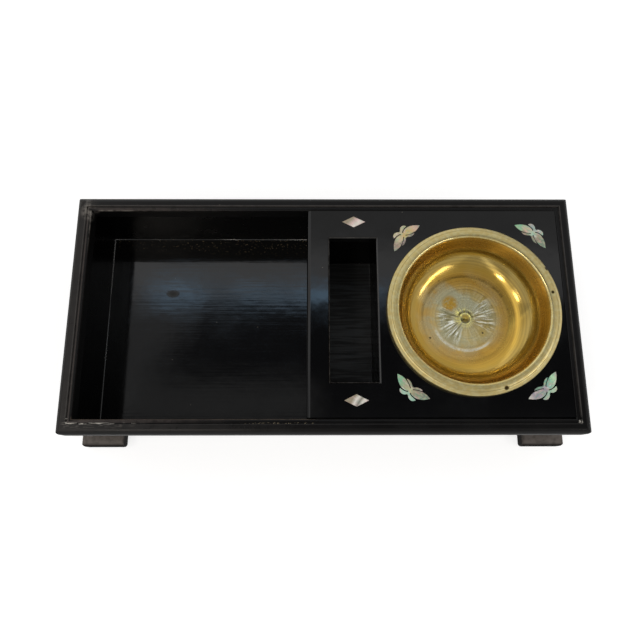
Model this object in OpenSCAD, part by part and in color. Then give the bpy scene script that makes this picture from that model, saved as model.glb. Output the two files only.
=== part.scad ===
// Lacquered smoking box: an open compartment at the left, and at the right a deck
// with a narrow well, a round hole for a lift-out brass bowl, and shell inlay.
// X runs from left to right, Y from front to back, Z up from the table.

/* [Case] */
// Length over the rim, left to right
rim_length = 300; // [260:1:360]
// Depth over the rim, front to back
rim_depth = 143; // [138:1:180]
// Depth from the lip of the rim down to the floor
inner_depth = 46.5; // [36:0.5:70]
// Thickness of the four walls
wall_t = 5.5; // [4.5:0.5:8]
// Thickness of the bottom board
board_t = 6; // [5:0.5:10]

/* [Rim moulding] */
// How far the rim stands out past the walls
rim_overhang = 3; // [2:0.5:5]
// Height of the moulding
rim_h = 10; // [8:0.5:13]
// Width of the outer bead
bead_w = 5.8; // [5:0.1:6]
// Round-over on the outside of the bead
bead_r = 3.2; // [2:0.1:4.4]
// Round-over on the inside of the bead
bead_inner_r = 0.5; // [0.2:0.1:0.6]
// How far the bead stands above the lip
bead_rise = 0.8; // [0.6:0.1:1.5]
// Width of the groove between the bead and the lip
groove_w = 0.6; // [0.4:0.1:1.2]
// Depth of that groove below the lip
groove_depth = 0.5; // [0.3:0.1:1]
// Round-over on the lip's inner edge
lip_r = 1; // [0.4:0.1:1.2]
// Rounding of the rim's four corners, seen from above
corner_r = 3; // [1:0.5:5]

/* [Deck] */
// Thickness of the deck panel
deck_t = 6; // [4.5:0.5:8]
// Round-over on the deck's left edge
nosing_r = 2.4; // [1:0.1:4]
// Seam between the deck and the rim at the back and the right
deck_fit = 0.1; // [0.05:0.05:0.3]
// Open seam between the deck and the front rim
front_seam = 0.7; // [0.2:0.1:1.2]
// Thickness of the partition under the deck's left edge
partition_t = 6; // [4:0.5:8]
// Width and height of the cleats under the deck
cleat = 6; // [4:0.5:7]

/* [Well] */
// Width of the well, left to right
well_w = 28.4; // [24:0.2:34]
// Length of the well, front to back
well_l = 87.6; // [70:0.2:92]
// Distance from the deck's left edge to the well
well_x = 13.4; // [11:0.2:16]
// How far the well sits behind the middle of the box
well_shift = 1.5; // [0:0.1:3]
// Thickness of the boards that line the well
liner_t = 4; // [2.5:0.5:4.5]
// Bevel round the mouth of the well
well_bevel = 0.8; // [0.4:0.1:1.5]

/* [Bowl] */
// Diameter over the lip
bowl_d = 102; // [80:1:110]
// Width of the deck between the well and the bowl's lip
bowl_land_left = 4.75; // [2:0.05:15]
// Width of the deck between the bowl's lip and the right wall
bowl_land_right = 2.95; // [2:0.05:15]
// Width of the lip
bowl_lip_w = 6.6; // [5.5:0.2:8]
// Height of the lip above the deck
bowl_lip_h = 5; // [4:0.2:7]
// Round-over on the outside of the lip
bowl_lip_r = 2.5; // [1:0.1:2.5]
// Round-over on the inside of the lip
bowl_edge_r = 0.8; // [0.4:0.1:1.5]
// Depth from the lip down to the inside floor
bowl_depth = 23.5; // [16:0.5:30]
// Height of the straight side below the lip's top
bowl_side_h = 11; // [8:0.5:14]
// Radius of the flat of the inside floor
bowl_floor_r = 29; // [20:0.5:30]
// How much the inside narrows before it turns into the floor
bowl_taper = 2.4; // [1:0.2:4]
// Thickness of the sides and the floor
bowl_t = 1.8; // [1.4:0.1:2.2]
// How far the middle of the floor is dished
bowl_dish = 0.6; // [0.2:0.1:1]
// Gap between the bowl and its hole in the deck
bowl_gap = 0.6; // [0.4:0.1:1]

/* [Shell inlay] */
// Thickness of the shell
shell_t = 0.6; // [0.4:0.1:1]
// Gap round each chip in its pocket
shell_gap = 0.05; // [0.02:0.01:0.08]
// Length of a lozenge
lozenge_l = 13.9; // [8:0.1:16]
// Width of a lozenge
lozenge_w = 7; // [4:0.1:8]
// How far a lozenge sits past the middle of the deck's strip at its end of the well
lozenge_out = 0.8; // [0:0.1:2]
// How far the lozenges sit right of the well's middle
lozenge_shift = 0.7; // [0:0.1:2]
// Distance from the bowl's lip to a butterfly's middle
butterfly_gap = 10.3; // [9:0.1:11.5]
// Angle of the butterflies round the bowl
butterfly_angle = 50; // [47:0.5:53]
// Length of a butterfly's body
butterfly_body_l = 6; // [5.8:0.1:6.8]
// Length of a forewing
forewing_l = 11.4; // [10:0.1:12.5]
// Width of a forewing
forewing_w = 4.7; // [4:0.1:4.8]
// Length of a hindwing
hindwing_l = 4.9; // [4.4:0.1:5.4]
// Width of a hindwing
hindwing_w = 2.4; // [2:0.1:2.8]
// Length of an inner wing
inner_wing_l = 5.6; // [5:0.1:6.2]
// Width of an inner wing
inner_wing_w = 1.3; // [1.1:0.1:1.6]

/* [Feet] */
// Height of the feet
foot_h = 9.5; // [7:0.5:16]
// Length and depth of a foot
foot_w = 26.5; // [24:0.5:40]
// How far the feet stand out past the rim at the ends
foot_reach_x = 4; // [1:0.5:5]
// How far the feet stand out past the rim at the front and back
foot_reach_y = 4; // [1:0.5:5]
// Round-over on the feet's upper edges at the front and back
foot_r = 4.2; // [2:0.2:5]
// Round-over on the feet's upper edges at the sides
foot_side_r = 1.6; // [0.8:0.2:4]
// Rounding of the feet's corners, seen from above
foot_corner_r = 2; // [1:0.5:6]
// Diameter of the foot pegs
peg_d = 6; // [4:0.5:8]
// Distance from a foot's outer faces to its peg
peg_inset = 16; // [14:0.5:18]
// Depth of a peg in its foot
peg_in_foot = 6; // [4:0.5:6.5]
// Depth of a peg in the bottom board
peg_in_board = 4; // [2:0.5:4.5]
// Gap round a peg in its hole
peg_gap = 0.1; // [0.05:0.05:0.2]

/* [Hidden] */

$fn = 96;
// Cuts run this far past the faces that they open
over = 1;

lacquer = "#141416";
lacquer_inside = "#1c1c20";
bare_wood = "#8a6a45";
shell = "#d8d2c6";
brass = "#c9a35a";

// Case: the walls stand on the board, and the rim caps the walls
body_l = rim_length - 2 * rim_overhang;
body_d = rim_depth - 2 * rim_overhang;
inner_l = body_l - 2 * wall_t;
inner_d = body_d - 2 * wall_t;
floor_z = foot_h + board_t;
lip_z = floor_z + inner_depth;
rim_z = lip_z + bead_rise - rim_h;
wall_h = rim_z - floor_z;

// Rim moulding: lip, groove and bead from the inside out
rim_w = wall_t + rim_overhang;
lip_h = rim_h - bead_rise;
lip_w = rim_w - bead_w - groove_w;

// Deck, its supports and the well: the deck is as long as what lies side by side in it
deck_z = lip_z - deck_t;
deck_l = well_x + well_w + bowl_land_left + bowl_d + bowl_land_right;
deck_left = inner_l / 2 - deck_l;
deck_right = inner_l / 2 - deck_fit;
deck_front = -inner_d / 2 + front_seam;
deck_back = inner_d / 2 - deck_fit;
under_deck_h = deck_z - floor_z;
partition_right = deck_left + partition_t;
well_left = deck_left + well_x;
well_right = well_left + well_w;
well_front = well_shift - well_l / 2;
well_back = well_shift + well_l / 2;
well_middle = (well_left + well_right) / 2;

// Bowl: its lip rests on the deck round the hole
bowl_r = bowl_d / 2;
bowl_x = inner_l / 2 - bowl_land_right - bowl_r;
bowl_mouth_r = bowl_r - bowl_lip_w;
bowl_side_r = bowl_mouth_r - bowl_taper;
bowl_floor_z = bowl_lip_h - bowl_depth;
bowl_bend_z = bowl_lip_h - bowl_side_h;
bowl_neck_r = bowl_mouth_r + bowl_t;
hole_r = bowl_neck_r + bowl_gap;

// Butterflies: the body's two ends along the middle line, and for each pair of wings the root, outwards and
// sideways, as shares of the body's length, the way that the wing points, and its two edges as curves in
// shares of its own length and width, the edge away from the bowl first
butterfly_head = butterfly_body_l * 0.53;
butterfly_tail = butterfly_head - butterfly_body_l;
hindwing_root = butterfly_body_l * [0.27, 0.12];
hindwing_turn = 78.6;
hindwing_edges = [
    [[-0.04, -0.49], [0.27, -1.31], [0.97, -1.16], [1, 0]],
    [[0, 0], [0.19, -0.26], [0.59, -0.16], [1, 0]]
];
forewing_root = butterfly_body_l * [0, 0.09];
forewing_turn = 105.5;
forewing_edges = [
    [[0, -0.21], [0.14, -0.72], [0.56, -0.84], [1, 0]],
    [[0.04, 0.13], [0.32, 0.46], [0.67, 0.55], [1, 0]]
];
inner_wing_root = butterfly_body_l * [-0.22, 0.12];
inner_wing_turn = 119;
inner_wing_edges = [
    [[0, 0], [0.24, 0.22], [0.63, 0.01], [1, 0]],
    [[0.01, 0.77], [0.27, 1.21], [0.77, 1.35], [1, 0]]
];
butterfly_r = bowl_r + butterfly_gap;

// How each butterfly was laid by hand: moved outwards, moved to its left, and turned
lay_back_left = [0.1, -0.2, 6.5];
lay_back_right = [1.2, 1, -0.5];
lay_front_left = [-0.4, 0.7, 1.5];
lay_front_right = [-0.9, -0.3, 2.5];

// Lozenges: the way from the well's middle to the middle of the strip at its end, and past it
lozenge_y = (well_l + inner_d) / 4 + lozenge_out;

// Points along an ellipse from the angle a0 to a1
function bend(middle, rx, ry, a0, a1, steps = 10) = [
    for (i = [0 : steps])
        let (a = a0 + (a1 - a0) * i / steps)
        [middle[0] + rx * cos(a), middle[1] + ry * sin(a)]
];

// Points along a curve from the first of four points to the last, drawn towards the two between
function curve(p, steps = 8) = [
    for (i = [0 : steps])
        let (t = i / steps, s = 1 - t)
        s * s * s * p[0] + 3 * s * s * t * p[1] + 3 * s * t * t * p[2] + t * t * t * p[3]
];

// A wing's outline: out along one edge to its tip and back along the other
function wing(root, turn, edges, length, width) =
    let (
        sides = [
            for (edge = edges) [
                for (p = curve(edge))
                    root + [
                        p[0] * length * cos(turn) - p[1] * width * sin(turn),
                        p[0] * length * sin(turn) + p[1] * width * cos(turn)
                    ]
            ]
        ]
    )
    concat(sides[0], [for (i = [len(sides[1]) - 2 : -1 : 0]) sides[1][i]]);

// An outline that runs anticlockwise, grown all round by a gap
function grown(points, gap) = [
    for (i = [0 : len(points) - 1])
        let (
            to = points[i] - points[(i + len(points) - 1) % len(points)],
            from = points[(i + 1) % len(points)] - points[i],
            a = [to[1], -to[0]] / norm(to),
            b = [from[1], -from[0]] / norm(from)
        )
        points[i] + gap * (a + b) / (1 + a * b)
];

// What a round-over takes off the corner of a square that lies at the origin, towards +x +y
module corner_cut(r) {
    difference() {
        translate([-r, -r]) square(r + over);
        translate([-r, -r]) circle(r);
    }
}

module rounded_square(x, y, r) {
    square([x - 2 * r, y], center = true);
    square([x, y - 2 * r], center = true);
    for (i = [-1, 1], j = [-1, 1])
        translate([i * (x / 2 - r), j * (y / 2 - r)]) circle(r);
}

// Moulding seen from its left end: x from the inner face outwards, y up
module rim_profile() {
    difference() {
        union() {
            square([rim_w - bead_w, lip_h]);
            translate([rim_w - bead_w, 0]) square([bead_w, rim_h]);
        }
        translate([lip_w, lip_h - groove_depth]) square([groove_w, groove_depth + over]);
        translate([0, lip_h]) mirror([1, 0]) corner_cut(lip_r);
        translate([rim_w, rim_h]) corner_cut(bead_r);
        translate([rim_w - bead_w, rim_h]) mirror([1, 0]) corner_cut(bead_inner_r);
    }
}

// One side of the rim, at the front of a frame of the given length and depth, mitred at both ends
module rim_side(length, depth) {
    color(lacquer)
    intersection() {
        translate([-length / 2, rim_w - depth / 2, rim_z])
            rotate([90, 0, 90]) linear_extrude(length) mirror([1, 0]) rim_profile();
        translate([0, 0, rim_z - over])
        linear_extrude(rim_h + 2 * over)
        intersection() {
            polygon([
                [-length / 2, -depth / 2],
                [length / 2, -depth / 2],
                [length / 2 - rim_w, rim_w - depth / 2],
                [rim_w - length / 2, rim_w - depth / 2]
            ]);
            rounded_square(length, depth, corner_r);
        }
    }
}

module rim_front() rim_side(rim_length, rim_depth);
module rim_back() rotate(180) rim_side(rim_length, rim_depth);
module rim_left() rotate(-90) rim_side(rim_depth, rim_length);
module rim_right() rotate(90) rim_side(rim_depth, rim_length);

// A board given by its lowest corner and its size
module board(corner, size, tint) {
    color(tint) translate(corner) cube(size);
}

module peg_places() {
    for (i = [-1, 1], j = [-1, 1])
        translate([
            i * (rim_length / 2 + foot_reach_x - peg_inset),
            j * (rim_depth / 2 + foot_reach_y - peg_inset),
            foot_h
        ]) children();
}

module bottom_board() {
    color(lacquer_inside)
    difference() {
        translate([-body_l / 2, -body_d / 2, foot_h]) cube([body_l, body_d, board_t]);
        peg_places() translate([0, 0, -over]) cylinder(h = peg_in_board + over, d = peg_d + 2 * peg_gap);
    }
}

module long_wall(side) {
    y = side * (body_d - wall_t) / 2 - wall_t / 2;
    board([-body_l / 2, y, floor_z], [body_l, wall_t, wall_h], lacquer);
}

module short_wall(side) {
    x = side * (body_l - wall_t) / 2 - wall_t / 2;
    board([x, -inner_d / 2, floor_z], [wall_t, inner_d, wall_h], lacquer);
}

module front_wall() long_wall(-1);
module back_wall() long_wall(1);
module left_wall() short_wall(-1);
module right_wall() short_wall(1);

module partition() {
    board([deck_left, -inner_d / 2, floor_z], [partition_t, inner_d, under_deck_h], lacquer_inside);
}

// Deck's outline seen from the front, with the round nosing at its left edge
module deck_profile() {
    difference() {
        translate([deck_left, deck_z]) square([deck_right - deck_left, deck_t]);
        translate([deck_left, lip_z]) mirror([1, 0]) corner_cut(nosing_r);
    }
}

// Mouth of the well as a prism that widens by the bevel, along a well side of the given length
module bevel_prism(width, length) {
    rotate([90, 0, 0])
    linear_extrude(length, center = true)
    polygon([
        [-width / 2, -well_bevel],
        [width / 2, -well_bevel],
        [width / 2 + well_bevel + over, over],
        [-width / 2 - well_bevel - over, over]
    ]);
}

module well_cut() {
    far = 2 * (well_w + well_l);
    translate([well_left, well_front, deck_z - over]) cube([well_w, well_l, deck_t + 2 * over]);
    translate([well_middle, well_shift, lip_z])
    intersection() {
        bevel_prism(well_w, far);
        rotate(90) bevel_prism(well_l, far);
    }
}

module deck_panel() {
    color(lacquer)
    difference() {
        translate([0, deck_back, 0])
            rotate([90, 0, 0]) linear_extrude(deck_back - deck_front) deck_profile();
        well_cut();
        translate([bowl_x, 0, deck_z - over]) cylinder(h = deck_t + 2 * over, r = hole_r);
        inlay(over) for (side = [-1, 1]) lozenge(side, shell_gap);
        inlay(over) for (i = [-1, 1], j = [-1, 1]) butterfly(i, j, shell_gap);
    }
}

module well_wall_left() {
    board(
        [well_left - liner_t, well_front - liner_t, floor_z],
        [liner_t, well_l + 2 * liner_t, under_deck_h], lacquer_inside
    );
}

module well_wall_right() {
    board(
        [well_right, well_front - liner_t, floor_z],
        [liner_t, well_l + 2 * liner_t, under_deck_h], lacquer_inside
    );
}

module well_wall_front() {
    board([well_left, well_front - liner_t, floor_z], [well_w, liner_t, under_deck_h], lacquer_inside);
}

module well_wall_back() {
    board([well_left, well_back, floor_z], [well_w, liner_t, under_deck_h], lacquer_inside);
}

module long_cleat(y) {
    length = inner_l / 2 - partition_right;
    board([partition_right, y, deck_z - cleat], [length, cleat, cleat], bare_wood);
}

module deck_cleat_front() long_cleat(-inner_d / 2);
module deck_cleat_back() long_cleat(inner_d / 2 - cleat);

module deck_cleat_right() {
    length = inner_d - 2 * cleat;
    board([inner_l / 2 - cleat, -length / 2, deck_z - cleat], [cleat, length, cleat], bare_wood);
}

// A foot's outline from one side: flat below, with its two upper edges rounded
module foot_profile(r) {
    difference() {
        translate([-foot_w / 2, 0]) square([foot_w, foot_h]);
        for (side = [0, 1])
            mirror([side, 0]) translate([foot_w / 2, foot_h]) corner_cut(r);
    }
}

module foot(side_x, side_y) {
    color(lacquer)
    difference() {
        translate([
            side_x * (rim_length / 2 + foot_reach_x - foot_w / 2),
            side_y * (rim_depth / 2 + foot_reach_y - foot_w / 2),
            0
        ])
        intersection() {
            rotate([90, 0, 0]) linear_extrude(foot_w, center = true) foot_profile(foot_side_r);
            rotate([90, 0, 90]) linear_extrude(foot_w, center = true) foot_profile(foot_r);
            linear_extrude(foot_h) rounded_square(foot_w, foot_w, foot_corner_r);
        }
        peg_places() translate([0, 0, -peg_in_foot]) cylinder(h = peg_in_foot + over, d = peg_d + 2 * peg_gap);
    }
}

module foot_front_left() foot(-1, -1);
module foot_front_right() foot(1, -1);
module foot_back_left() foot(-1, 1);
module foot_back_right() foot(1, 1);

module foot_pegs() {
    color(bare_wood)
    peg_places() translate([0, 0, -peg_in_foot]) cylinder(h = peg_in_foot + peg_in_board, d = peg_d);
}

// Shell lies flush in the deck; a pocket for it is cut on through the face
module inlay(past = 0) {
    translate([0, 0, lip_z - shell_t]) linear_extrude(shell_t + past) children();
}

// A butterfly cut from one chip, on the bowl's diagonal, with its hindwings towards the deck's corner
module butterfly(side_x, side_y, gap = 0) {
    turn = atan2(side_y * sin(butterfly_angle), side_x * cos(butterfly_angle));
    lay = side_y > 0
        ? (side_x < 0 ? lay_back_left : lay_back_right)
        : (side_x < 0 ? lay_front_left : lay_front_right);
    half = concat(
        [[butterfly_head, 0]],
        wing(hindwing_root, hindwing_turn, hindwing_edges, hindwing_l, hindwing_w),
        wing(forewing_root, forewing_turn, forewing_edges, forewing_l, forewing_w),
        wing(inner_wing_root, inner_wing_turn, inner_wing_edges, inner_wing_l, inner_wing_w),
        [[butterfly_tail, 0]]
    );
    other = [for (i = [len(half) - 2 : -1 : 1]) [half[i][0], -half[i][1]]];
    translate([bowl_x, 0]) rotate(turn) translate([butterfly_r + lay[0], lay[1]]) rotate(lay[2])
        polygon(grown(concat(half, other), gap));
}

// A lozenge behind (1) or in front (-1) of the well, grown all round by a gap
module lozenge(side, gap = 0) {
    grow = gap * sqrt(lozenge_l * lozenge_l + lozenge_w * lozenge_w);
    l = lozenge_l / 2 + grow / lozenge_w;
    w = lozenge_w / 2 + grow / lozenge_l;
    translate([well_middle + lozenge_shift, well_shift + side * lozenge_y])
        polygon([[l, 0], [0, w], [-l, 0], [0, -w]]);
}

module lozenge_back() color(shell) inlay() lozenge(1);
module lozenge_front() color(shell) inlay() lozenge(-1);

module butterfly_back_left() color(shell) inlay() butterfly(-1, 1);
module butterfly_back_right() color(shell) inlay() butterfly(1, 1);
module butterfly_front_left() color(shell) inlay() butterfly(-1, -1);
module butterfly_front_right() color(shell) inlay() butterfly(1, -1);

// Half of the bowl's section: radius across, height above the deck up
module bowl_profile() {
    bend_h = bowl_bend_z - bowl_floor_z;
    polygon(concat(
        [[0, bowl_floor_z - bowl_dish]],
        bend([bowl_floor_r, bowl_bend_z], bowl_side_r - bowl_floor_r, bend_h, -90, 0),
        bend([bowl_mouth_r + bowl_edge_r, bowl_lip_h - bowl_edge_r], bowl_edge_r, bowl_edge_r, 180, 90, 4),
        bend([bowl_r - bowl_lip_r, bowl_lip_h / 2], bowl_lip_r, bowl_lip_h / 2, 90, -90),
        [[bowl_neck_r, 0]],
        bend(
            [bowl_floor_r, bowl_bend_z],
            bowl_side_r + bowl_t - bowl_floor_r, bend_h + bowl_t, 0, -90
        ),
        [[0, bowl_floor_z - bowl_t - bowl_dish]]
    ));
}

module brass_bowl() {
    color(brass) translate([bowl_x, 0, lip_z]) rotate_extrude() bowl_profile();
}

bottom_board();
front_wall();
back_wall();
left_wall();
right_wall();
partition();
rim_front();
rim_back();
rim_left();
rim_right();
deck_panel();
well_wall_left();
well_wall_right();
well_wall_front();
well_wall_back();
deck_cleat_front();
deck_cleat_back();
deck_cleat_right();
foot_front_left();
foot_front_right();
foot_back_left();
foot_back_right();
foot_pegs();
butterfly_back_left();
butterfly_back_right();
butterfly_front_left();
butterfly_front_right();
lozenge_back();
lozenge_front();
brass_bowl();
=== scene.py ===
"""Looks of the black lacquered smoking box: finishes, the turned brass bowl, the light and the camera."""
import math

import bmesh
import bpy
from mathutils import Matrix, Vector


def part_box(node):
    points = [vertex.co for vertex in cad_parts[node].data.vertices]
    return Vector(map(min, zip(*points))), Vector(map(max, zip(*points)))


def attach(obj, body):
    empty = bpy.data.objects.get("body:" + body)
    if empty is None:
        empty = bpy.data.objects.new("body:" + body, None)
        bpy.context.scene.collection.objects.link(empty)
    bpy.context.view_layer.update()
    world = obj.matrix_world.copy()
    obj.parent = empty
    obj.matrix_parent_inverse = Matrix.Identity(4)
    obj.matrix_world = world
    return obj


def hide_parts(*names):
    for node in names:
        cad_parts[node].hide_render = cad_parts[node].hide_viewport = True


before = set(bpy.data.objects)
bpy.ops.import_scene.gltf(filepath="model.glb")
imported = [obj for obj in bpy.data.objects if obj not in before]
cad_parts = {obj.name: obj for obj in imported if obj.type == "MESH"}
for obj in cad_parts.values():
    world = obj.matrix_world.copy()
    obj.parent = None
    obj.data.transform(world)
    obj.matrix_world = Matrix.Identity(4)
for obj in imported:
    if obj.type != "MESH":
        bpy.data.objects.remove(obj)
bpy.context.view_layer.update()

# Places and sizes below are in mm where nothing else is said. Blender's own unit is the metre.
MM = 0.001

# Camera fitted to the box's own edges in the photograph, turns in degrees.
CAMERA_PLACE = (-4.7, -94.1, 405.7)
CAMERA_PITCH = 14.4
CAMERA_YAW = -1.58
CAMERA_ROLL = -1.51
LENS = 34.25
SENSOR = 36.0

BOWL_STEPS = 216
FILLET_RADIUS = 0.6

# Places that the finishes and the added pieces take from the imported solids.
bowl_low, bowl_high = [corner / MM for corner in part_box("brass_bowl")]
bowl_axis = (bowl_low + bowl_high) / 2
deck_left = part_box("deck_panel")[0].x / MM
deck_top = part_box("deck_panel")[1].z / MM
floor_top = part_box("bottom_board")[1].z / MM
foot_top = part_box("foot_front_left")[1].z / MM
case_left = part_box("left_wall")[1].x / MM
case_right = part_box("right_wall")[0].x / MM
case_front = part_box("front_wall")[1].y / MM
case_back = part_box("back_wall")[0].y / MM
partition_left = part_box("partition")[0].x / MM
well_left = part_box("well_wall_left")[1].x / MM
well_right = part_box("well_wall_right")[0].x / MM
well_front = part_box("well_wall_front")[1].y / MM
well_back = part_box("well_wall_back")[0].y / MM

# Rectangles seen from above, as their least and greatest corners.
case_inside = ((case_left, case_front), (case_right, case_back))
compartment = ((case_left, case_front), (partition_left, case_back))
well = ((well_left, well_front), (well_right, well_back))
bowl_seat = Vector((bowl_axis.x, bowl_axis.y, deck_top))


def linear(code):
    """The linear colour of an sRGB hex value."""
    channels = [int(code[i:i + 2], 16) / 255 for i in (1, 3, 5)]
    return [c / 12.92 if c <= 0.04045 else ((c + 0.055) / 1.055) ** 2.4 for c in channels] + [1.0]


def add(tree, kind, sockets=None, stops=None, **settings):
    """Add a node: its settings, a ramp's stops, and its sockets, each a value, a node or another socket."""
    node = tree.nodes.new(kind)
    for name, value in settings.items():
        setattr(node, name, value)
    if stops:
        ramp = node.color_ramp.elements
        while len(ramp) < len(stops):
            ramp.new(1.0)
        for element, (position, code) in zip(ramp, stops):
            element.position = position
            element.color = linear(code)
    for key, value in (sockets or {}).items():
        if isinstance(key, str):
            key = next(i for i, s in enumerate(node.inputs) if s.enabled and s.name == key)
        if isinstance(value, bpy.types.Node):
            value = next(s for s in value.outputs if s.enabled)
        if isinstance(value, bpy.types.NodeSocket):
            tree.links.new(value, node.inputs[key])
        else:
            node.inputs[key].default_value = value
    return node


def start_material(name):
    """An empty node material and its object coordinates, in mm."""
    material = bpy.data.materials.new(name)
    material.use_nodes = True
    tree = material.node_tree
    tree.nodes.clear()
    metres = add(tree, "ShaderNodeTexCoord").outputs["Object"]
    place = add(tree, "ShaderNodeVectorMath", {0: metres, "Scale": 1 / MM}, operation="SCALE")
    return material, tree, place


def end_material(tree, sockets):
    """The shader that the material's nodes lead to."""
    surface = add(tree, "ShaderNodeBsdfPrincipled", sockets)
    add(tree, "ShaderNodeOutputMaterial", {"Surface": surface})


def fade(tree, *parts):
    """Product of parts: numbers, nodes, or smooth steps.

    A step (value, start, end) goes from 0 to 1, and (value, start, end, low, high) from low to high.
    """
    product = None
    for part in parts:
        if isinstance(part, tuple):
            value, start, end, low, high = (*part, 0.0, 1.0)[:5]
            ends = {"From Min": start, "From Max": end, "To Min": low, "To Max": high}
            part = add(tree, "ShaderNodeMapRange", {"Value": value, **ends}, interpolation_type="SMOOTHSTEP")
        if product is not None:
            part = add(tree, "ShaderNodeMath", {0: product, 1: part}, operation="MULTIPLY")
        product = part
    return product


def greatest(tree, first, *others):
    """The greatest of several values."""
    for other in others:
        first = add(tree, "ShaderNodeMath", {0: first, 1: other}, operation="MAXIMUM")
    return first


def lay(tree, colour, *coats):
    """Colours laid over a first one in turn, each as (where it lies, hex value, linear colour or node)."""
    for where, coat in coats:
        over = linear(coat) if isinstance(coat, str) else coat
        colour = add(tree, "ShaderNodeMix", {"Factor": where, "A": colour, "B": over}, data_type="RGBA")
    return colour


def near(tree, place, centre, inside, outside):
    """Fade from 1 within a distance of a point to 0."""
    away = add(tree, "ShaderNodeVectorMath", {0: place, 1: centre}, operation="DISTANCE").outputs["Value"]
    return fade(tree, (away, outside, inside))


def past(tree, part, low, high):
    """How far a point lies outside a rectangle seen from above, less than 0 inside it."""
    away = []
    for axis, least, most in zip("XY", low, high):
        middle = (least + most) / 2
        along = add(tree, "ShaderNodeMath", {0: part.outputs[axis], 1: middle}, operation="SUBTRACT")
        apart = add(tree, "ShaderNodeMath", {0: along}, operation="ABSOLUTE")
        away.append(add(tree, "ShaderNodeMath", {0: apart, 1: most - middle}, operation="SUBTRACT"))
    return greatest(tree, *away)


def grain(tree, place, sizes, detail=2.0, turn=0.0, roughness=0.5):
    """Noise whose features have these sizes along X, Y and Z, turned about Z."""
    lie = add(tree, "ShaderNodeMapping",
              {"Vector": place, "Rotation": (0, 0, turn), "Scale": [1 / size for size in sizes]})
    return add(tree, "ShaderNodeTexNoise",
               {"Vector": lie, "Scale": 1.0, "Detail": detail, "Roughness": roughness})


def lacquer(name, body, gloss, shine, wear_and_light, streak=None):
    """Black oil lacquer on wood, rubbed and polished.

    It mirrors the room, slightly wavy, with hazy patches, hairline scratches and settled dust.
    The gloss is its roughness where it is clear and where it is hazy.
    """
    material, tree, place = start_material(name)
    haze = grain(tree, place, (24, 24, 24), 5.0, roughness=0.6)
    rough = fade(tree, (haze, 0.35, 0.7, *gloss))
    # Hairlines are 0.1 mm in the real finish, and 0.4 mm here so that they show.
    hairlines = [fade(tree, (grain(tree, place, (length, 0.4, 20), 1.0, turn), 0.72, 0.80))
                 for turn, length in ((0.35, 50), (-0.6, 36), (1.45, 44))]
    scratches = greatest(tree, *hairlines)
    rough = add(tree, "ShaderNodeMath", {0: scratches, 1: 0.08, 2: rough}, operation="MULTIPLY_ADD")
    height = grain(tree, place, (11, 11, 11))
    if streak:
        # Brush marks of the last coat, along the board.
        marks = grain(tree, place, streak, 4.0, roughness=0.6)
        height = add(tree, "ShaderNodeMath", {0: marks, 1: 0.45, 2: height}, operation="MULTIPLY_ADD")
        rough = add(tree, "ShaderNodeMath", {0: marks, 1: 0.04, 2: rough}, operation="MULTIPLY_ADD")
    cells = add(tree, "ShaderNodeTexVoronoi", {"Vector": place, "Scale": 1 / 7})
    pick = add(tree, "ShaderNodeSeparateColor", {"Color": cells.outputs["Color"]})
    dust = fade(tree, (cells.outputs["Distance"], 0.045, 0.02), (pick, 0.80, 0.84), 0.4)
    colour = lay(tree, linear(body), (dust, "#9a9284"))
    # Each entry is wear or dust, or painted shade, sheen or highlight, laid over the colour with its own
    # roughness.
    for where, code, roughness in wear_and_light(tree, place):
        colour = lay(tree, colour, (where, code))
        rough = add(tree, "ShaderNodeMix", {"Factor": where, "A": rough, "B": roughness})
    bump = add(tree, "ShaderNodeBump", {"Height": height, "Strength": 0.1, "Distance": 0.4 * MM})
    end_material(tree, {"Base Color": colour, "Roughness": rough, "Normal": bump, "IOR": 1.5,
                        "Specular IOR Level": shine})
    return material


def wall_painted_sheen(tree, place):
    """The outside of the walls, painted a lighter grey than their inside as a painted sheen."""
    part = add(tree, "ShaderNodeSeparateXYZ", {"Vector": place})
    out = past(tree, part, *case_inside)
    return [(fade(tree, (out, 3, 4)), "#100f0f", 0.2)]


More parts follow.
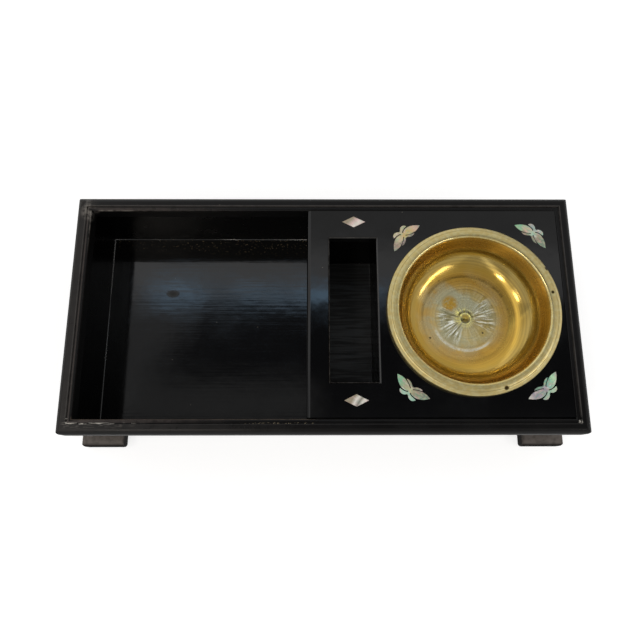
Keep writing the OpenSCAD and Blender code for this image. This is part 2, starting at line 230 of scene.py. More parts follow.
def rim_wear_and_painted_light(tree, place):
    """Marks on the moulding: wear, dust, chips and a nick, painted shade on its inner and outer faces, and
    painted highlights along its inner edges.
    """
    part = add(tree, "ShaderNodeSeparateXYZ", {"Vector": place})
    x, y, z = part.outputs
    breaks = grain(tree, place, (5, 5, 5), 5.0, roughness=0.7)
    grit = grain(tree, place, (0.9, 0.9, 0.9), 1.0)
    dashes = grain(tree, place, (3.5, 0.6, 3), 2.0)
    patchy = fade(tree, (breaks, 0.42, 0.58))
    # Stretches of the box's outline.
    at_front = fade(tree, (y, case_front + 2, case_front))
    off_front = fade(tree, (y, case_front, case_front + 2, 0.15, 1.0))
    at_back = fade(tree, (y, case_back - 30, case_back))
    at_left = fade(tree, (x, partition_left + 8, partition_left))
    by_left = fade(tree, (x, partition_left - 25, case_left + 5))
    by_corner = fade(tree, (x, case_left + 45, case_left + 8))
    by_partition = fade(tree, (x, partition_left - 40, partition_left - 25), at_left)
    left_side = fade(tree, (x, case_left + 6, case_left - 1))
    front_left = fade(tree, at_front, (x, case_right * 0.3, case_left))
    # Bands of the moulding's profile, outwards from the walls.
    out = past(tree, part, *case_inside)
    on_top = fade(tree, (z, deck_top - 1.6, deck_top - 0.5))
    inner_face = fade(tree, (out, 0.4, 0.05), (z, deck_top - 0.5, deck_top - 1.4))
    edge = fade(tree, (out, 0.6, 0.15), on_top)
    inner_lip = fade(tree, (out, 1.3, 1.0), on_top, left_side)
    lip = fade(tree, (out, 2.1, 1.8), on_top)
    groove = fade(tree, (out, 1.9, 2.15), (out, 2.9, 2.65))
    bead_edge = fade(tree, (out, 2.3, 2.7), (out, 3.4, 3.1))
    bead = fade(tree, (out, 2.6, 2.9))
    outer_side = fade(tree, (out, 6.6, 7.8))
    # Pale patches at the back left corner and a nick at the front right.
    corner_pale_patch = near(tree, place, (-145, 67.5, 62), 1.0, 5.0)
    inner_pale_patch = near(tree, place, (-142.5, 62, 61.5), 1.5, 6.5)
    nick = near(tree, place, (143.6, -64.8, 62.3), 0.2, 1.5)
    return [
        (fade(tree, left_side, (breaks, 0.3, 0.6, 0.6, 0.9)), "#24211f", 0.3),
        (fade(tree, bead, front_left, (breaks, 0.3, 0.6, 0.4, 1.0)), "#1f1d1c", 0.4),
        # Painted shade: the moulding's outer faces are darker and duller.
        (outer_side, "#040404", 0.6),
        # Painted shade: the inner faces over the compartment are near black.
        (inner_face, "#020202", 0.5),
        (fade(tree, lip, by_left, (breaks, 0.35, 0.6, 0.4, 0.9)), "#3a3330", 0.4),
        (inner_lip, "#010101", 0.6),
        # Painted highlight: a light line on the bead's inner round-over, along the back and the sides.
        (fade(tree, bead_edge, off_front, (breaks, 0.3, 0.6, 0.5, 0.9)), "#403d3b", 0.5),
        # Painted highlight, broken in patches: the lip's inner edge is tan at the front and grey at the back.
        (fade(tree, edge, at_front, at_left, (breaks, 0.3, 0.6, 0.3, 0.7)), "#5a4e44", 0.5),
        (fade(tree, edge, at_back, by_corner, patchy, 0.8), "#746f68", 0.5),
        (fade(tree, groove, at_front, by_partition, (grit, 0.60, 0.68), 0.8), "#b8aa90", 0.7),
        (fade(tree, groove, at_front, by_corner, (dashes, 0.53, 0.60)), "#e4e0d8", 0.6),
        (fade(tree, bead, at_front, by_corner, (out, 6, 3), (dashes, 0.52, 0.66), 0.5), "#7c7771", 0.5),
        (fade(tree, corner_pale_patch, patchy, 0.5), "#6f6c68", 0.5),
        (fade(tree, inner_pale_patch, patchy, 0.8), "#7d7872", 0.5),
        (fade(tree, nick, (grit, 0.40, 0.52)), "#d8d4cc", 0.5),
    ]


def deck_painted_edge_light(tree, place):
    """Painted highlights, broken in patches, along the panel's free edge and round the mouth of the well."""
    part = add(tree, "ShaderNodeSeparateXYZ", {"Vector": place})
    x, _, z = part.outputs
    breaks = grain(tree, place, (4, 4, 4), 4.0, roughness=0.7)
    edge_glint = fade(tree, (breaks, 0.35, 0.65, 0.3, 0.9), (z, deck_top - 0.9, deck_top - 0.4))
    from_well = past(tree, part, *well)
    return [
        (fade(tree, (x, deck_left + 0.6, deck_left + 0.15), edge_glint), "#45423e", 0.45),
        (fade(tree, (from_well, 0.6, 0.2), edge_glint), "#524e4b", 0.45),
    ]


def foot_dust_and_sheen(tree, place):
    """Dust and a painted sheen on the ledge of each foot, outside the rim: its top is lighter."""
    part = add(tree, "ShaderNodeSeparateXYZ", {"Vector": place})
    dust = grain(tree, place, (3, 3, 3), 3.0)
    ledge = fade(tree, (part.outputs["Z"], foot_top - 2.2, foot_top - 0.2))
    return [(fade(tree, ledge, (dust, 0.3, 0.6, 0.6, 0.9)), "#6b6561", 0.6)]


def floor_wear_and_shade(tree, place):
    """Tobacco crumbs at the back of the compartment, a dull oval spot, and the well's dull, streaky floor,
    which is made black as painted shade.
    """
    part = add(tree, "ShaderNodeSeparateXYZ", {"Vector": place})
    x, y, _ = part.outputs
    grit = grain(tree, place, (1.3, 1.3, 1.3))
    streaks = grain(tree, place, (25, 1.2, 20), 3.0)
    at_back = fade(tree, (y, case_back - 15, case_back - 2))
    by_partition = fade(tree, (x, case_left + 20, partition_left - 30, 0.3, 1.0))
    in_well = fade(tree, (x, partition_left + 4, partition_left + 8))
    board_edge = fade(tree, (past(tree, part, *case_inside), 3, 4))
    squeezed = add(tree, "ShaderNodeVectorMath", {0: place, 1: (1.0, 1.7, 1.0)}, operation="MULTIPLY")
    oval = near(tree, squeezed, (-100, 41, 15.5), 1.0, 5.2)
    return [
        (fade(tree, at_back, by_partition, (grit, 0.60, 0.70), 0.4), "#8d7a5c", 0.8),
        # Painted shade: the floor under the deck and in the well is black.
        (in_well, "#000000", 0.7),
        (fade(tree, in_well, (streaks, 0.42, 0.6)), "#101414", 0.5),
        (board_edge, "#080707", 0.4),
        (oval, "#000000", 0.6),
    ]


def paint(material, *nodes):
    """Give CAD nodes a finish."""
    for node in nodes:
        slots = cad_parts[node].data.materials
        slots.clear()
        slots.append(material)


deck_lacquer = lacquer("black_lacquer_polished", "#040404", (0.05, 0.12), 0.5, deck_painted_edge_light)
rim_lacquer = lacquer("black_lacquer_dulled_rim", "#0a0909", (0.18, 0.28), 0.22, rim_wear_and_painted_light)
floor_lacquer = lacquer("black_lacquer_brushed_floor", "#080808", (0.04, 0.09), 0.6, floor_wear_and_shade,
                        streak=(70, 1.6, 20))
wall_lacquer = lacquer("black_lacquer_walls", "#020202", (0.20, 0.32), 0.1, wall_painted_sheen)
foot_lacquer = lacquer("black_lacquer_rubbed_feet", "#151312", (0.55, 0.65), 0.03, foot_dust_and_sheen)

paint(deck_lacquer, "deck_panel")
paint(rim_lacquer, "rim_front", "rim_back", "rim_left", "rim_right")
paint(floor_lacquer, "bottom_board")
paint(wall_lacquer, "partition", "well_wall_left", "well_wall_right", "well_wall_front", "well_wall_back",
      "front_wall", "back_wall", "left_wall", "right_wall")
paint(foot_lacquer, "foot_front_left", "foot_front_right", "foot_back_left", "foot_back_right")


def softwood(name, pale, middle, dark):
    """Planed softwood: pale and darker year rings, drawn out along the stick."""
    material, tree, place = start_material(name)
    rings = grain(tree, place, (60, 2.2, 2.2), 4.0)
    colour = add(tree, "ShaderNodeValToRGB", {"Fac": rings},
                 stops=[(0.35, pale), (0.5, middle), (0.65, dark)])
    bump = add(tree, "ShaderNodeBump", {"Height": rings, "Strength": 0.3, "Distance": 0.2 * MM})
    end_material(tree, {"Base Color": colour, "Roughness": 0.7, "Normal": bump})
    return material


paint(softwood("planed_softwood", "#b98f5f", "#a27646", "#8a6136"),
      "deck_cleat_back", "deck_cleat_right", "foot_pegs")
# The front cleat shows through the seam of the deck, so it is painted near black as the shadow in that seam.
paint(softwood("softwood_painted_gap_shadow", "#0d0c0b", "#090808", "#060606"), "deck_cleat_front")

# Colours that polished mother-of-pearl shows, from the tints of its growth layers.
NACRE = {
    "mint": "#88c09c", "bright mint": "#c2f0c4", "teal": "#80c8b2", "mint white": "#a8cebc",
    "sage": "#76897a", "taupe": "#978c78", "grey": "#7c7a72", "gold": "#cab470", "cream": "#cac69e",
    "olive": "#a6aa88", "peach": "#d6b8a0", "pink grey": "#a8968e", "lilac": "#9a98a6",
    "white": "#e8e4dc", "rose": "#dcc2be",
}


def tints(tree, share, names):
    """Colours of mother-of-pearl that follow one another from 0 to 1."""
    steps = [(i / (len(names) - 1), NACRE[name]) for i, name in enumerate(names)]
    return add(tree, "ShaderNodeValToRGB", {"Fac": share}, stops=steps)


def nacre(node, turn, across, hind=(), inner=(), shimmer=0.55):
    """Mother-of-pearl, sawn thin and polished.

    Its colours run across the chip in soft bands, broken by fine growth lines, and shift to pink and green.
    """
    material, tree, place = start_material("mother_of_pearl_" + node)
    straight = Matrix.Rotation(-turn, 3, "Z")
    corners = [straight @ vertex.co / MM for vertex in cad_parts[node].data.vertices]
    turned = add(tree, "ShaderNodeVectorRotate", {"Vector": place, "Axis": (0, 0, 1), "Angle": -turn})
    part = add(tree, "ShaderNodeSeparateXYZ", {"Vector": turned})
    wander = grain(tree, place, (4, 4, 4), 3.0)
    sway = 0.16
    shares = []
    for axis in (0, 1):
        reach = [corner[axis] for corner in corners]
        share = add(tree, "ShaderNodeMapRange",
                    {"Value": part.outputs[axis], "From Min": min(reach), "From Max": max(reach),
                     "To Min": -sway / 2, "To Max": 1 - sway / 2})
        shares.append(add(tree, "ShaderNodeMath", {0: wander, 1: sway, 2: share}, operation="MULTIPLY_ADD"))
    along, outward = shares
    colour = tints(tree, along, across)
    if hind:
        behind = fade(tree, (outward, 0.60, 0.70))
        colour = lay(tree, colour, (behind, tints(tree, along, hind)))
    if inner:
        ahead = fade(tree, (outward, 0.30, 0.22), (along, 0.22, 0.28), (along, 0.78, 0.72))
        colour = lay(tree, colour, (ahead, tints(tree, along, inner)))
    lines = grain(tree, turned, (4, 0.9, 4), 3.0, 0.5)
    pearly = add(tree, "ShaderNodeValToRGB", {"Fac": lines}, stops=[
        (0.32, "#5f8f7c"), (0.42, "#8fc4aa"), (0.50, "#cfc69c"), (0.58, "#c99aa0"), (0.70, "#f2efe8")])
    flecks = grain(tree, place, (1.6, 1.6, 1.6), 2.0)
    colour = lay(tree, colour, (fade(tree, (flecks, 0.40, 0.62, 0.08, shimmer)), pearly))
    rough = fade(tree, (lines, 0.3, 0.7, 0.16, 0.3))
    bump = add(tree, "ShaderNodeBump", {"Height": lines, "Strength": 0.1, "Distance": 0.1 * MM})
    end_material(tree, {"Base Color": colour, "Roughness": rough, "Normal": bump, "IOR": 1.6,
                        "Thin Film Thickness": 420.0, "Thin Film IOR": 1.5})
    paint(material, node)


# Tints from the left wing tip to the right one, then those of the hindwings and of the small inner wings.
BUTTERFLIES = {
    "butterfly_back_left": (("pink grey", "taupe", "cream", "gold", "gold", "peach", "pink grey"),
                            ("cream", "olive"), ("grey", "grey")),
    "butterfly_back_right": (("mint", "mint", "peach", "mint white", "taupe", "sage", "sage"),
                             ("lilac", "mint white"), ("taupe", "sage")),
    "butterfly_front_left": (("sage", "sage", "taupe", "cream", "olive", "mint", "mint"),
                             ("mint white", "mint white"), ("grey", "olive")),
    "butterfly_front_right": (("lilac", "bright mint", "teal", "lilac", "lilac", "lilac", "white"),
                              ("bright mint", "lilac"), ("teal", "grey")),
}
for node, (wings, hind, inner) in BUTTERFLIES.items():
    low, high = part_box(node)
    reach = (low + high) / 2 / MM - bowl_axis
    nacre(node, math.atan2(reach.y, reach.x) - math.pi / 2, wings, hind, inner)
nacre("lozenge_back", -0.9, ("taupe", "taupe", "rose", "white", "rose"), shimmer=0.2)
nacre("lozenge_front", -0.6, ("taupe", "taupe", "taupe", "white", "grey", "white", "rose"), shimmer=0.2)


def turned_brass(name):
    """Yellow brass turned on a lathe, long in use.

    Rings follow the tool. The lip has gone dull khaki, the wall is golden, and the floor is scoured silvery.
    """
    material, tree, place = start_material(name)
    moved = add(tree, "ShaderNodeVectorMath", {0: place, 1: bowl_seat}, operation="SUBTRACT")
    part = add(tree, "ShaderNodeSeparateXYZ", {"Vector": moved})
    x, y, z = part.outputs
    flat = add(tree, "ShaderNodeCombineXYZ", {"X": x, "Y": y})
    radius = add(tree, "ShaderNodeVectorMath", {0: flat}, operation="LENGTH").outputs["Value"]
    blotch = grain(tree, place, (9, 9, 9), 4.0, roughness=0.6)
    mottle = grain(tree, place, (2.4, 2.4, 2.4), 3.0)
    sector = grain(tree, place, (18, 18, 18), 1.0)
    # Tool rings, 1.5 mm apart along the section.
    path = add(tree, "ShaderNodeMath", {0: radius, 1: z}, operation="ADD")
    rings = add(tree, "ShaderNodeTexNoise", {"W": path, "Scale": 1 / 1.5, "Detail": 2.0},
                noise_dimensions="1D")
    # Strokes of the scouring run out from the middle, about 5 degrees apart and 7 mm long.
    spread = add(tree, "ShaderNodeVectorMath", {0: flat}, operation="NORMALIZE")
    fan = add(tree, "ShaderNodeVectorMath", {0: spread, "Scale": 12.0}, operation="SCALE")
    lengths = add(tree, "ShaderNodeMath", {0: radius, 1: 7.0}, operation="DIVIDE")
    lift = add(tree, "ShaderNodeCombineXYZ", {"Z": lengths})
    fan = add(tree, "ShaderNodeVectorMath", {0: fan, 1: lift}, operation="ADD")
    chatter = add(tree, "ShaderNodeTexNoise", {"Vector": fan, "Scale": 1.0, "Detail": 3.0})
    # They fan out in two sweeps, towards the left and towards the right.
    sweeps = []
    for turn, start, end, low, high in ((3.5, 0.5, 0.85, 0.0, 1.0), (0.15, 0.7, 0.92, 0.12, 0.8)):
        aim = (math.cos(turn), math.sin(turn), 0)
        towards = add(tree, "ShaderNodeVectorMath", {0: spread, 1: aim}, operation="DOT_PRODUCT")
        sweeps.append(fade(tree, (towards.outputs["Value"], start, end, low, high)))
    swept = add(tree, "ShaderNodeMath", {0: sweeps[0], 1: sweeps[1]}, operation="ADD")
    reach = add(tree, "ShaderNodeMath", {0: sector, 1: 16, 2: radius}, operation="MULTIPLY_ADD")
    fanned = fade(tree, (radius, 3, 6), (reach, 28, 21), swept)
    # Painted highlight: the strokes are painted bright as the scratches' glints, and they also raise the
    # bump.
    strokes_and_glints = fade(tree, (chatter, 0.48, 0.58), fanned)
    # Painted shade: dark strokes between the bright ones.
    stroke_shades = fade(tree, (chatter, 0.50, 0.38), fanned)
    # Ash and scouring left a grey smear, a little to the left of the middle.
    smear = fade(tree, near(tree, moved, (-4, 2, -19), 12, 33),
                 (sector, 0.30, 0.50), (blotch, 0.36, 0.54, 0.3, 1.0))
    # The turned step at the rim of the scoured floor, with a painted highlight on its front-left arc, where
    # the light falls on it.
    side = add(tree, "ShaderNodeMath", {0: y, 1: 0.45, 2: x}, operation="MULTIPLY_ADD")
    step_highlight = fade(tree, (radius, 18.8, 20.2), (radius, 21.4, 20.6), (y, -4, -11), (side, 12, 2),
                     (mottle, 0.36, 0.52, 0.4, 1.0))
    # The boss in the middle, dull, in a ring of painted glints on bright scratches.
    boss_glints = fade(tree, near(tree, moved, (-1, 0.5, -19.2), 4.0, 8.0), (chatter, 0.44, 0.54))
    boss = near(tree, moved, (0, 0, -19.2), 1.2, 3.6)
    on_lip = fade(tree, (radius, 43.2, 44.0))
    uneven = add(tree, "ShaderNodeMath", {0: blotch, 1: 6, 2: radius}, operation="MULTIPLY_ADD")
    zone = add(tree, "ShaderNodeMapRange", {"Value": uneven, "From Min": 3, "From Max": 54})
    colour = add(tree, "ShaderNodeValToRGB", {"Fac": zone}, stops=[
        (0.00, "#cdb678"), (0.30, "#c9ae6a"), (0.46, "#d4a349"), (0.62, "#caa54b"), (0.78, "#bea868")])
    colour = lay(
        tree, colour,
        (fade(tree, smear, 0.9), "#cfcaa6"),
        (fade(tree, stroke_shades, 0.75), "#857a50"),
        (fade(tree, strokes_and_glints, 0.9), "#f6f2e0"),
        (fade(tree, step_highlight, 0.85), "#f2ead2"),
        (fade(tree, boss_glints, 0.9), "#f8e888"),
        (fade(tree, boss, 0.8), "#b89838"),
        (on_lip, "#d2be80"),
        (fade(tree, on_lip, (mottle, 0.4, 0.65), 0.6), "#dcd2a0"),
    )
    tone = fade(tree, (rings, 0.3, 0.7, 0.88, 1.05))
    colour = add(tree, "ShaderNodeMix", {"Factor": 1.0, "A": colour, "B": tone},
                 data_type="RGBA", blend_type="MULTIPLY")
    stain = fade(tree, near(tree, moved, (-9.2, 9.6, -19.2), 3.0, 6.2), (mottle, 0.34, 0.5, 0.4, 1.0), 0.85)
    patch = fade(tree, near(tree, moved, (10.0, -9.2, -19.0), 1.6, 3.6), (mottle, 0.36, 0.5, 0.4, 1.0), 0.7)
    colour = lay(tree, colour, (stain, "#cd9a22"), (patch, "#c2a660"))
    # Pits and specks: place from the bowl's middle and half their width.
    for pit, half in (((-22.5, -12.4, -18.7), 0.4), ((-15.5, 24.1, -18.6), 0.4), ((10.0, -9.2, -19.0), 0.4),
                      ((33, -25, -14), 0.5), ((14.7, -46.5, 5.0), 0.9), ((43.8, 24.4, 4.0), 0.8),
                      ((45.9, 9.6, 5.0), 0.6)):
        colour = lay(tree, colour, (near(tree, moved, pit, half, 2 * half), "#3a2e18"))
    rough = fade(tree, (blotch, 0.3, 0.7, 0.20, 0.30))
    on_bend = fade(tree, (radius, 28, 32), (radius, 42, 41))
    scratched = greatest(tree, boss_glints, fade(tree, strokes_and_glints, 0.7))
    lip_top = fade(tree, on_lip, (radius, 45, 46))
    for where, change in ((on_bend, -0.09), (scratched, -0.14), (lip_top, 0.12)):
        rough = add(tree, "ShaderNodeMath", {0: where, 1: change, 2: rough}, operation="MULTIPLY_ADD")
    height = add(tree, "ShaderNodeMath", {0: strokes_and_glints, 1: 1.6, 2: rings}, operation="MULTIPLY_ADD")
    bump = add(tree, "ShaderNodeBump", {"Height": height, "Strength": 0.16, "Distance": 0.2 * MM})
    end_material(tree, {"Base Color": colour, "Metallic": 1.0, "Roughness": rough, "Normal": bump})
    return material


def arc(centre, radii, start, end, steps):
    """Points on an elliptic arc of a profile, turns in degrees from outwards towards up."""
    turns = [math.radians(start + (end - start) * i / steps) for i in range(steps + 1)]
    return [(centre[0] + radii[0] * math.cos(t), centre[1] + radii[1] * math.sin(t)) for t in turns]


def bowl_profile():
    """Section of the bowl, from the middle of its floor over the lip to the middle of its underside.

    Points are (radius, height above the deck).
    """
    lip_r = (bowl_high.x - bowl_low.x) / 2
    lip_top = bowl_high.z - deck_top
    under = bowl_low.z - deck_top
    wall = 1.8
    depth = 23.5
    floor_z = lip_top - depth
    floor_r = 26.0
    floor_dish = 0.9
    floor_steps = 52
    bend_steps = 24
    heel_r = 29.0
    shoulder = (43.8, -6.0)
    points = []
    for i in range(floor_steps + 1):
        r = floor_r * i / floor_steps
        dish = floor_dish * (1 - (r / floor_r) ** 2)
        boss = 0.22 * math.exp(-(r / 1.6) ** 2) - 0.12 * math.exp(-((r - 3.4) / 1.0) ** 2)
        points.append((r, floor_z - dish + boss))
    # The bend from the floor to the wall is one cubic curve.
    bend = ((floor_r, floor_z), (34.5, floor_z + 0.6), (40.9, -10.9), (42.2, -5.1))
    for i in range(1, bend_steps + 1):
        t = i / bend_steps
        weights = ((1 - t) ** 3, 3 * t * (1 - t) ** 2, 3 * t * t * (1 - t), t ** 3)
        points.append(tuple(sum(w * p[k] for w, p in zip(weights, bend)) for k in (0, 1)))
    points += [(43.0, -1.4), (43.6, 1.8)]
    # The lip: rounded inner edge, flat top with a turned line, sloping shoulder, rounded rim.
    points += arc((45.5, lip_top - 1.5), (1.7, 1.5), 170, 90, 12)
    points += [(46.8, lip_top), (48.0, lip_top - 0.08)]
    points += [(48.2, lip_top - 0.18), (48.4, lip_top - 0.2), (48.6, lip_top - 0.14), (48.9, lip_top - 0.2)]
    points += [(49.6, lip_top - 0.75)]
    points += arc((lip_r - 1.5, lip_top - 2.6), (1.5, 1.5), 62, 0, 8)
    points += arc((lip_r - 0.9, 0.95), (0.9, 0.9), 0, -90, 8)
    points += [(46.6, 0.05), (46.2, -0.4), (45.1, -3.2), shoulder]
    points += arc((heel_r, shoulder[1]), (shoulder[0] - heel_r, wall - floor_z + shoulder[1]), 0, -90, 20)[1:]
    points += [(20.0, under + 0.29), (10.0, under + 0.07), (0.0, under)]
    return points


def lathe_tree():
    """Geometry nodes that turn a section, drawn as edges, about the Z axis."""
    tree = bpy.data.node_groups.new("lathe", "GeometryNodeTree")
    face = tree.interface
    face.new_socket("Section", in_out="INPUT", socket_type="NodeSocketGeometry")
    face.new_socket("Steps", in_out="INPUT", socket_type="NodeSocketInt")
    face.new_socket("Path radius", in_out="INPUT", socket_type="NodeSocketFloat")
    face.new_socket("Finish", in_out="INPUT", socket_type="NodeSocketMaterial")
    face.new_socket("Turned", in_out="OUTPUT", socket_type="NodeSocketGeometry")
    given = add(tree, "NodeGroupInput")
    section = add(tree, "GeometryNodeMeshToCurve", {"Mesh": given.outputs["Section"]})
    circle = add(tree, "GeometryNodeCurvePrimitiveCircle",
                 {"Resolution": given.outputs["Steps"], "Radius": given.outputs["Path radius"]})
    upright = add(tree, "GeometryNodeSetCurveNormal", {"Curve": circle.outputs["Curve"]}, mode="Z_UP")
    swept = add(tree, "GeometryNodeCurveToMesh", {"Curve": upright, "Profile Curve": section})
    closed = add(tree, "GeometryNodeMergeByDistance", {"Geometry": swept, "Distance": 0.002 * MM})
    smooth = add(tree, "GeometryNodeSetShadeSmooth", {"Geometry": closed})
    whole = add(tree, "GeometryNodeRealizeInstances", {"Geometry": smooth})
    finished = add(tree, "GeometryNodeSetMaterial",
                   {"Geometry": whole, "Material": given.outputs["Finish"]})
    add(tree, "NodeGroupOutput", {"Turned": finished})
    return tree


def turn_on_lathe(name, points, finish, steps, base):
    """A piece turned from a section, as a plain mesh standing at its place."""
    path_radius = 20 * MM
    mesh = bpy.data.meshes.new(name)
    verts = [(r * MM - path_radius, -z * MM, 0.0) for r, z in points]
    mesh.from_pydata(verts, [(i, i + 1) for i in range(len(verts) - 1)], [])
    blank = bpy.data.objects.new(name + "_section", mesh)
    bpy.context.scene.collection.objects.link(blank)
    lathe = blank.modifiers.new("lathe", "NODES")
    lathe.node_group = lathe_tree()
    values = {"Steps": steps, "Path radius": path_radius, "Finish": finish}
    for socket in lathe.node_group.interface.items_tree:
        if socket.name in values:
            lathe[socket.identifier] = values[socket.name]
    graph = bpy.context.evaluated_depsgraph_get()
    turned = bpy.data.meshes.new_from_object(blank.evaluated_get(graph))
    bpy.data.objects.remove(blank)
    turned.transform(Matrix.Translation(base * MM))
    work = bmesh.new()
    work.from_mesh(turned)
    bmesh.ops.recalc_face_normals(work, faces=work.faces)
    work.to_mesh(turned)
    work.free()
    piece = bpy.data.objects.new(name, turned)
    bpy.context.scene.collection.objects.link(piece)
    return piece


bowl_brass = turned_brass("turned_yellow_brass")
bowl = turn_on_lathe("turned_bowl", bowl_profile(), bowl_brass, BOWL_STEPS, bowl_seat)
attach(bowl, "bowl")
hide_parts("brass_bowl")
paint(bowl_brass, "brass_bowl")


def corner_fillet(name, low, high):
    """Lacquer that pooled along the foot of four walls: a thin concave strip round the floor."""
    corners = [(low[0], low[1], 1, 1), (high[0], low[1], -1, 1),
               (high[0], high[1], -1, -1), (low[0], high[1], 1, -1)]
    steps = 6
    turns = [math.pi / 2 * i / steps for i in range(steps + 1)]
    levels = [(FILLET_RADIUS * (1 - math.sin(t)), FILLET_RADIUS * (1 - math.cos(t))) for t in turns]
    # The last level is the strip's hidden back, so that it is closed.
    levels.append((0.0, 0.0))
    work = bmesh.new()
    rings = [[work.verts.new(Vector((x + sx * inset, y + sy * inset, floor_top + rise)) * MM)
              for x, y, sx, sy in corners] for inset, rise in levels]
    for k, under in enumerate(rings):
        over = rings[(k + 1) % len(rings)]
        for i in range(4):
            j = (i + 1) % 4
            face = work.faces.new((under[i], under[j], over[j], over[i]))
            face.smooth = k < steps
    mesh = bpy.data.meshes.new(name)
    work.to_mesh(mesh)
    work.free()
    mesh.materials.append(floor_lacquer)
    piece = bpy.data.objects.new(name, mesh)
    bpy.context.scene.collection.objects.link(piece)
    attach(piece, "case")


corner_fillet("compartment_fillet", *compartment)
corner_fillet("well_fillet", *well)


def studio_world():
    """A room that the lacquer and the brass mirror.

    It is grey in front and darkest just behind the top. Further back are a pale band and a window's cool
    strip, at the left a bright wall, and low down it is white all round.
    """
    world = bpy.data.worlds.new("studio")
    world.use_nodes = True
    tree = world.node_tree
    tree.nodes.clear()
    look = add(tree, "ShaderNodeTexCoord").outputs["Generated"]
    part = add(tree, "ShaderNodeSeparateXYZ", {"Vector": look})
    x, y, z = part.outputs
    # How far back and to the right a direction leads, per height, as on a flat ceiling.
    up = greatest(tree, z, 0.05)
    back = add(tree, "ShaderNodeMath", {0: y, 1: up}, operation="DIVIDE")
    right = add(tree, "ShaderNodeMath", {0: x, 1: up}, operation="DIVIDE")
    over = add(tree, "ShaderNodeMapRange", {"Value": back, "From Min": -1.0, "From Max": 1.0})
    ceiling = add(tree, "ShaderNodeValToRGB", {"Fac": over}, stops=[
        (0.00, "#b0aeaa"), (0.45, "#aaa8a5"), (0.515, "#7a7978"), (0.535, "#525356"), (0.56, "#404145"),
        (0.62, "#3d3e43"), (0.64, "#5d6269"), (0.656, "#e6e6e7"), (0.682, "#e8e8e8"), (0.705, "#b0b0b0"),
        (1.00, "#e0dfdc")])
    # The window's strip has a bar across it, and is dimmer next to it on the right.
    bar = greatest(tree, fade(tree, (right, -0.175, -0.21)), fade(tree, (right, -0.165, -0.13, 0.0, 0.6)),
                   fade(tree, (right, -0.03, -0.012)), 0.35)
    strip = fade(tree, (back, 0.280, 0.296), (back, 0.324, 0.308), (right, -0.30, -0.26),
                 (right, 0.03, 0.16, 1.0, 0.25), (right, 0.2, 0.16), bar)
    # The left wall's light ends in a slanting edge over the open compartment.
    slant = add(tree, "ShaderNodeMath", {0: right, 1: -1.23, 2: back}, operation="MULTIPLY_ADD")
    left_wall = fade(tree, (slant, 0.46, 0.56), 0.3)
    # A round lamp, which only the floor of the bowl shows: the deck that would mirror it lies under the bowl.
    spot = add(tree, "ShaderNodeCombineXYZ", {"X": right, "Y": back})
    round_lamp = near(tree, spot, (0.27, 0.274, 0), 0.05, 0.148)
    side_window = fade(tree, (right, -0.34, -0.44), (right, -0.95, -0.55))
    right_wall = fade(tree, (right, 0.45, 0.60))
    front_glow = fade(tree, (back, 0.18, 0.12), (back, 0.07, 0.10), (right, 0.03, -0.03), 0.25)
    low_walls = fade(tree, (z, 0.30, 0.12))
    colour = lay(
        tree, ceiling,
        (left_wall, (0.95, 0.95, 0.95, 1.0)),
        (strip, (1.25, 1.95, 2.7, 1.0)),
        (round_lamp, (0.85, 0.9, 0.92, 1.0)),
        (side_window, (1.2, 1.2, 1.2, 1.0)),
        (right_wall, (0.6, 0.6, 0.6, 1.0)),
        (front_glow, (0.9, 0.9, 0.88, 1.0)),
        (low_walls, (1.0, 1.0, 1.0, 1.0)),
    )
    shine = add(tree, "ShaderNodeBackground", {"Color": colour, "Strength": 1.0})
    add(tree, "ShaderNodeOutputWorld", {"Surface": shine})
    bpy.context.scene.world = world


def lamp(name, place, width, height, power, tint):
    """A soft box that faces the box on the table, its place and sizes in metres, its power in watts."""
    light = bpy.data.lights.new(name, "AREA")
    light.shape = "RECTANGLE"
    light.size = width
    light.size_y = height
    light.energy = power
    light.color = linear(tint)[:3]
    holder = bpy.data.objects.new(name, light)
    target = Vector((0, 0, 0.05))
    aim = (target - Vector(place)).to_track_quat("-Z", "Y")
    holder.matrix_world = Matrix.Translation(place) @ aim.to_matrix().to_4x4()
    bpy.context.scene.collection.objects.link(holder)


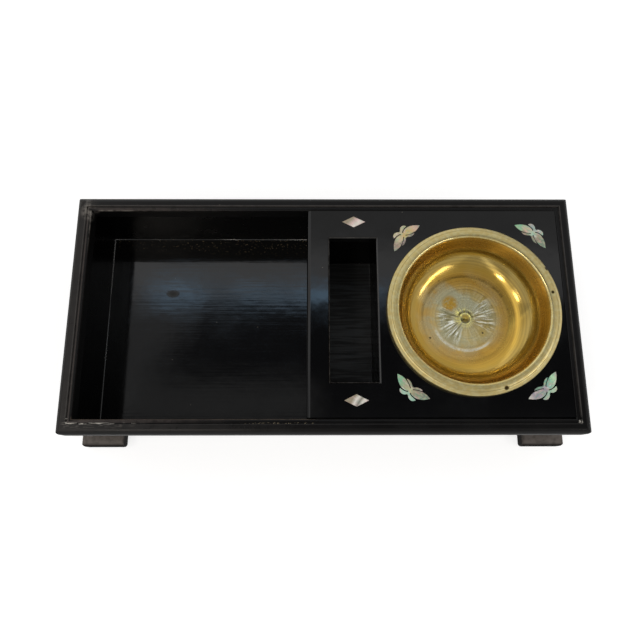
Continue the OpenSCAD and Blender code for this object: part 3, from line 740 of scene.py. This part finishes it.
def pale_floor():
    """Seamless white paper that keeps a soft shadow under the box."""
    material, tree, place = start_material("white_paper")
    fibre = grain(tree, place, (4, 4, 4))
    paper = add(tree, "ShaderNodeBsdfDiffuse", {"Color": lay(tree, linear("#b4b4b4"), (fibre, "#b8b8b8"))})
    rays = add(tree, "ShaderNodeLightPath")
    seen = greatest(tree, rays.outputs["Is Camera Ray"], rays.outputs["Is Glossy Ray"],
                    rays.outputs["Is Transmission Ray"])
    glow = add(tree, "ShaderNodeEmission", {"Strength": fade(tree, seen, 0.72)})
    both = add(tree, "ShaderNodeAddShader", {0: paper, 1: glow})
    add(tree, "ShaderNodeOutputMaterial", {"Surface": both})
    mesh = bpy.data.meshes.new("floor")
    # Half the sheet's side, in metres.
    reach = 12.0
    mesh.from_pydata([(-reach, -reach, 0), (reach, -reach, 0), (reach, reach, 0), (-reach, reach, 0)],
                     [], [(0, 1, 2, 3)])
    mesh.materials.append(material)
    floor = bpy.data.objects.new("floor", mesh)
    floor.location.z = -0.1 * MM
    bpy.context.scene.collection.objects.link(floor)


def photo_camera():
    """The photograph's camera."""
    data = bpy.data.cameras.new("camera")
    data.sensor_width = SENSOR
    data.lens = LENS
    data.clip_start = 0.01
    camera = bpy.data.objects.new("camera", data)
    turns = (Matrix.Rotation(math.radians(CAMERA_YAW), 4, "Z")
             @ Matrix.Rotation(math.radians(CAMERA_PITCH), 4, "X")
             @ Matrix.Rotation(math.radians(-CAMERA_ROLL), 4, "Z"))
    camera.matrix_world = Matrix.Translation(Vector(CAMERA_PLACE) * MM) @ turns
    bpy.context.scene.collection.objects.link(camera)
    bpy.context.scene.camera = camera


studio_world()
lamp("front_lamp", (-0.39, -0.575, 1.04), 0.12, 0.12, 1.1, "#fff6ea")
lamp("left_lamp", (-0.72, -0.146, 1.0), 0.14, 0.14, 1.1, "#fff6ea")
lamp("right_window", (0.98, -0.46, 1.0), 0.85, 0.12, 2.7, "#fffaf4")
pale_floor()
photo_camera()
bpy.context.scene.view_settings.view_transform = "Standard"
